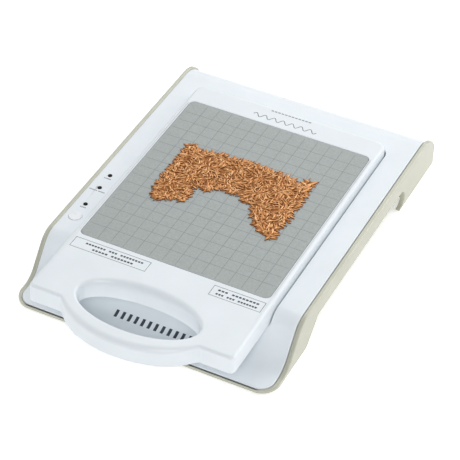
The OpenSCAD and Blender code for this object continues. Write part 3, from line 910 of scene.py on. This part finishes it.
def build_notices():
    """Two framed rows of dashes in front of the panel, and a wave with a dashed bar behind it."""
    z = TRAY_TOP
    front, back, border = -87, -77, 0.32
    row_y, tall = (-80.3, -84.1), 1.5
    notices = (
        ((-72, -13.5), ((-63, -18, (7, 3, 8)), (-56, -24, (5, 7)))),
        ((34.5, 73), ((38.5, 69.5, (3, 8)), (38.5, 69.5, (3, 3, 7)))),
    )
    dark = Print()
    for (x0, x1), rows in notices:
        dark.frame(x0, x1, front, back, border, z)
        for y, (start, stop, words) in zip(row_y, rows):
            dark.dashes(start, stop, y, words, tall, z)
    left, span, steps, half_period = -25, 51, 84, 6
    wave_y, swing, stroke = 101.5, 1.9, 0.5
    wave = [(left + span * i / steps, wave_y + swing * math.sin(math.pi * i / half_period))
            for i in range(steps + 1)]
    dark.stroke(wave, stroke, z)
    dark.finish("platform_marks", "platform", "print_dark")
    grey = Print()
    bar_left, bar_right, bar_y, bar_tall, bar_dashes = -15, 18, 110.5, 1.0, 12
    grey.dashes(bar_left, bar_right, bar_y, (bar_dashes,), bar_tall, z)
    grey.finish("platform_small_marks", "platform", "print_grey")


def build_slope_ticks():
    """A row of dark ticks that follow the front slope."""
    ticks = Print(0.03)
    count, span, wide, steps = 12, 56, 2.2, 5
    front, back = -104.2, -98.6
    for i in range(count):
        x0 = -span / 2 + span * i / (count - 1) - wide / 2
        x1 = x0 + wide
        for k in range(steps):
            ya, yb = (front + (back - front) * j / steps for j in (k, k + 1))
            za, zb = deck_height(ya), deck_height(yb)
            ticks.quad([(x0, ya, za), (x1, ya, za), (x1, yb, zb), (x0, yb, zb)])
    ticks.finish("slope_ticks", "base", "print_dark")


def build_labels():
    """Short dashes in front of each indicator light."""
    labels = Print()
    before, tall = 3.8, 1.0
    label_words, label_halves = ((5,), (6, 5), (4,)), (2.8, 6.2, 2.4)
    for y, words, half in zip(LENS_Y, label_words, label_halves):
        labels.dashes(STRIP_X - half, STRIP_X + half, y - before, words, tall, DECK_Z)
    labels.finish("indicator_labels", "base", "print_grey")


# ---------- foil plate ----------

def cad_outline(node, z):
    """Outline of a CAD node's flat face at height z, as ordered (x, y) points in millimetres."""
    bm = bmesh.new()
    bm.from_mesh(NODES[node].data)
    bmesh.ops.remove_doubles(bm, verts=bm.verts, dist=WELD * MM)
    flat = [f for f in bm.faces if all(abs(v.co.z / MM - z) < 0.01 for v in f.verts)]
    counts = {}
    for face in flat:
        for edge in face.edges:
            counts[edge] = counts.get(edge, 0) + 1
    follow = {}
    for edge, uses in counts.items():
        if uses == 1:
            for a, b in (edge.verts, reversed(edge.verts)):
                follow.setdefault(a, []).append(b)
    start = next(iter(follow))
    path, last, here = [start], None, start
    while True:
        nxt = next(v for v in follow[here] if v is not last)
        if nxt is start:
            break
        path.append(nxt)
        last, here = here, nxt
    points = [(v.co.x / MM, v.co.y / MM) for v in path]
    bm.free()
    area = sum(x0 * y1 - x1 * y0 for (x0, y0), (x1, y1) in zip(points, points[1:] + points[:1]))
    return points if area > 0 else points[::-1]


def inside(point, outline):
    """True if the point lies within the outline."""
    x, y = point
    found = False
    for (x0, y0), (x1, y1) in zip(outline, outline[1:] + outline[:1]):
        if (y0 > y) != (y1 > y) and x < x0 + (x1 - x0) * (y - y0) / (y1 - y0):
            found = not found
    return found


def add_leaf(points, faces, root, angle, length, width, floor, lift):
    """A closed pointed leaf with a sharp rib, lying from its root along the angle."""
    stations, sides = 6, (-1.0, 0.0, 1.0)
    rib, blunt, fullness = 0.34, 0.04, 0.8
    c, s = math.cos(angle), math.sin(angle)
    start = len(points)
    for level in (0, 1):
        for i in range(stations):
            t = i / (stations - 1)
            half = width / 2 * math.sin(math.pi * min(max(t, blunt), 1 - blunt) ** fullness)
            arch = lift * (0.8 + 0.2 * math.sin(math.pi * t))
            for side in sides:
                u, v = t * length, side * half
                ridge = rib * (1 - t) if side == 0 else 0
                z = floor + level * (arch + ridge)
                points.append((root[0] + u * c - v * s, root[1] + u * s + v * c, z))
    rows = len(sides)

    def at(level, i, j):
        """Index of the point at a station and a side, on the leaf's underside (0) or its face (1)."""
        return start + level * stations * rows + i * rows + j

    for i in range(stations - 1):
        for j in range(rows - 1):
            faces.append((at(1, i, j), at(1, i + 1, j), at(1, i + 1, j + 1), at(1, i, j + 1)))
            faces.append((at(0, i, j), at(0, i, j + 1), at(0, i + 1, j + 1), at(0, i + 1, j)))
        for j in (0, rows - 1):
            faces.append((at(0, i, j), at(0, i + 1, j), at(1, i + 1, j), at(1, i, j)))
    for i in (0, stations - 1):
        for j in range(rows - 1):
            faces.append((at(0, i, j), at(1, i, j), at(1, i, j + 1), at(0, i, j + 1)))


def scatter(draw, outline, distance, tries):
    """Random points inside an outline that keep a distance from one another, out of so many tries."""
    xs, ys = zip(*outline)
    cells, found = {}, []
    for _ in range(tries):
        p = (draw.uniform(min(xs), max(xs)), draw.uniform(min(ys), max(ys)))
        cx, cy = int(p[0] // distance), int(p[1] // distance)
        near = [q for i in (-1, 0, 1) for j in (-1, 0, 1) for q in cells.get((cx + i, cy + j), [])]
        if inside(p, outline) and all(math.dist(p, q) > distance for q in near):
            cells.setdefault((cx, cy), []).append(p)
            found.append(p)
    return found


def edge_points(outline, pitch):
    """Points along an outline with the direction that points out of it."""
    found = []
    for (x0, y0), (x1, y1) in zip(outline, outline[1:] + outline[:1]):
        length = math.hypot(x1 - x0, y1 - y0)
        count = max(1, round(length / pitch))
        for i in range(count):
            t = (i + 0.5) / count
            found.append((x0 + (x1 - x0) * t, y0 + (y1 - y0) * t, math.atan2(x0 - x1, y1 - y0)))
    return found


def along(start, angle, distance):
    """The point at a distance from start, in the direction of the angle."""
    return (start[0] + distance * math.cos(angle), start[1] + distance * math.sin(angle))


def build_foil_sheet(inner):
    """Thin sheet that the leaves stand on."""
    lift, thickness = 0.01, 0.3
    sheet = prism(inner, PLATE_LOW.z + lift, PLATE_LOW.z + thickness)
    outward(sheet)
    shade(sheet)
    piece(sheet, "foil_plate_sheet", "foil_plate", "copper_plate")


def add_inner_leaves(leaves, draw, outline, inner, floor):
    """Small leaves all over the plate, fanned out around scattered hubs and kept inside its outline."""
    hub_spacing, leaf_spacing = 14, 1.15
    lengths, widths, lifts = (3.2, 6.6), (0.8, 1.2), (0.3, 1.0)
    fan, turn, shortest, behind = 0.9, 0.8, 1.8, 0.55
    hub_tries, leaf_tries, turns = 4000, 60000, 8
    hubs = scatter(draw, outline, hub_spacing, hub_tries)
    for middle in scatter(draw, inner, leaf_spacing, leaf_tries):
        hub = min(hubs, key=lambda h: math.dist(middle, h))
        angle = math.atan2(middle[1] - hub[1], middle[0] - hub[0]) + draw.uniform(-fan, fan)
        length = draw.uniform(*lengths)
        root = along(middle, angle, -behind * length)
        if not inside(root, inner):
            root = middle
        for _ in range(turns):
            if inside(along(root, angle, length), outline):
                break
            angle += turn
        else:
            length = shortest
        add_leaf(*leaves, root, angle, length, draw.uniform(*widths), floor, draw.uniform(*lifts))


def add_edge_leaves(leaves, draw, outline, floor):
    """Wider leaves round the edge, with their tips out past it, and two long ones at the back right."""
    pitch, sway = 1.9, 0.7
    lengths, widths, lifts, overhangs = (4.0, 6.5), (1.3, 2.0), (0.4, 0.9), (0.4, 3.6)
    for x, y, out in edge_points(outline, pitch):
        angle = out + draw.uniform(-sway, sway)
        length = draw.uniform(*lengths)
        root = along((x, y), angle, -length + draw.uniform(*overhangs))
        if inside(root, outline):
            add_leaf(*leaves, root, angle, length, draw.uniform(*widths), floor, draw.uniform(*lifts))
    corner = max(outline, key=sum)
    behind, long_lift = 0.6, 0.8
    for degrees, length, width, in_front in ((56, 14, 2.4, 1.5), (66, 12, 2.2, 8)):
        angle = math.radians(degrees)
        root = along((corner[0], corner[1] - in_front), angle, -behind * length)
        add_leaf(*leaves, root, angle, length, width, floor, long_lift)


def build_foil_plate():
    """Copper-coloured arch plate covered with small overlapping leaves, their tips out past its edge."""
    outline = cad_outline("foil_plate", PLATE_LOW.z)
    draw = random.Random(11)
    margin, leaf_lift = 0.9, 0.02
    inner = [(x, y) for x, y, _ in level_ring(outline, margin, 0)]
    build_foil_sheet(inner)
    leaves = ([], [])
    floor = PLATE_LOW.z + leaf_lift
    add_inner_leaves(leaves, draw, outline, inner, floor)
    add_edge_leaves(leaves, draw, outline, floor)
    made = mesh_object("tool", *leaves)
    outward(made)
    shade(made, 50)
    piece(made, "foil_plate_leaves", "foil_plate", "copper_plate", ["foil_plate"])


# ---------- carried-over CAD nodes ----------

def round_cad_edges():
    """Small edge radii on the CAD nodes that show."""
    widths = {"platform_bottom": 0.3, "rear_base_plate": 0.25, "power_inlet": 0.25, "switch_housing": 0.2,
              "power_rocker": 0.3, "rubber_feet": 0.2, "timer_button": 0.2, "indicator_lenses": 0.2,
              "cover_screws": 0.2, "base_plate_screws": 0.15, "platform_screws": 0.12,
              "locating_pegs": 0.4, "contact_block": 0.2, "platform_contacts": 0.15}
    widths.update({f"contact_pin_{i}": 0.3 for i in range(1, 5)})
    for node, width in widths.items():
        obj = NODES[node]
        weld = obj.modifiers.new("weld", "WELD")
        weld.merge_threshold = 0.002 * MM
        flat = obj.modifiers.new("flat", "DECIMATE")
        flat.decimate_type = "DISSOLVE"
        flat.angle_limit = math.radians(0.5)
        add_bevel(obj, width, 35)
        normals = obj.modifiers.new("normals", "WEIGHTED_NORMAL")
        normals.keep_sharp = True


# ---------- studio ----------

def build_camera():
    """Long lens, from the front right and above."""
    right = Vector((0.8920, 0.4521, 0.0093)).normalized()
    forward = Vector((-0.3335, 0.6716, -0.6617)).normalized()
    up = right.cross(forward).normalized()
    right = forward.cross(up).normalized()
    data = bpy.data.cameras.new("camera")
    data.sensor_width = 36
    data.lens = 156.48
    data.clip_start, data.clip_end = 0.05, 50
    camera = bpy.data.objects.new("camera", data)
    bpy.context.scene.collection.objects.link(camera)
    turn = Matrix((right, up, -forward)).transposed().to_4x4()
    camera.matrix_world = Matrix.Translation((0.4780, -0.9483, 0.9499)) @ turn
    bpy.context.scene.camera = camera


def area_light(name, place, size, power):
    """A rectangular light that points at the origin."""
    data = bpy.data.lights.new(name, "AREA")
    data.shape = "RECTANGLE"
    data.size, data.size_y = size
    data.energy = power
    light = bpy.data.objects.new(name, data)
    bpy.context.scene.collection.objects.link(light)
    light.location = place
    light.rotation_mode = "QUATERNION"
    light.rotation_quaternion = (-Vector(place)).to_track_quat("-Z", "Y")


def build_floor():
    """White floor that glows a little, so that shadows on it stay faint."""
    reach = 3000
    corners = [(-reach, -reach, 0), (reach, -reach, 0), (reach, reach, 0), (-reach, reach, 0)]
    floor = mesh_object("studio_floor", corners, [(0, 1, 2, 3)])
    f = Finish("studio_floor", 0.9, specular=0.1)
    f.two_tone(f.noise(300), (250, 250, 250), (252, 252, 252))
    f.shader.inputs["Emission Color"].default_value = (1, 1, 1, 1)
    f.shader.inputs["Emission Strength"].default_value = 0.35
    floor.data.materials.append(f.material)


def build_studio():
    """White floor, a cool faint surround, and five soft lights: sides, top, back and front."""
    build_floor()
    world = bpy.data.worlds.new("studio")
    world.use_nodes = True
    background = world.node_tree.nodes["Background"]
    background.inputs["Color"].default_value = (0.93, 0.96, 1.0, 1)
    background.inputs["Strength"].default_value = 0.194
    bpy.context.scene.world = world
    lights = {  # place, width and height in metres, power in watts
        "right": ((1.35, 1.3, 0.75), (1.4, 1.4), 16),
        "top": ((0.0, 0.0, 2.0), (2.4, 2.4), 6.5),
        "left": ((-1.7, 0.0, 1.0), (2.0, 2.0), 10.5),
        "back": ((0.0, 1.8, 1.2), (2.4, 1.6), 22),
        "flash": ((0.55, -1.3, 1.25), (0.5, 0.5), 11.5),
    }
    for name, row in lights.items():
        area_light(name, *row)
    bpy.context.scene.view_settings.view_transform = "Standard"


build_camera()
build_studio()
dress_cad_nodes()
round_cad_edges()
build_shell()
build_cover()
build_frame()
build_panel()
build_grid()
build_notices()
build_slope_ticks()
build_labels()
build_foil_plate()
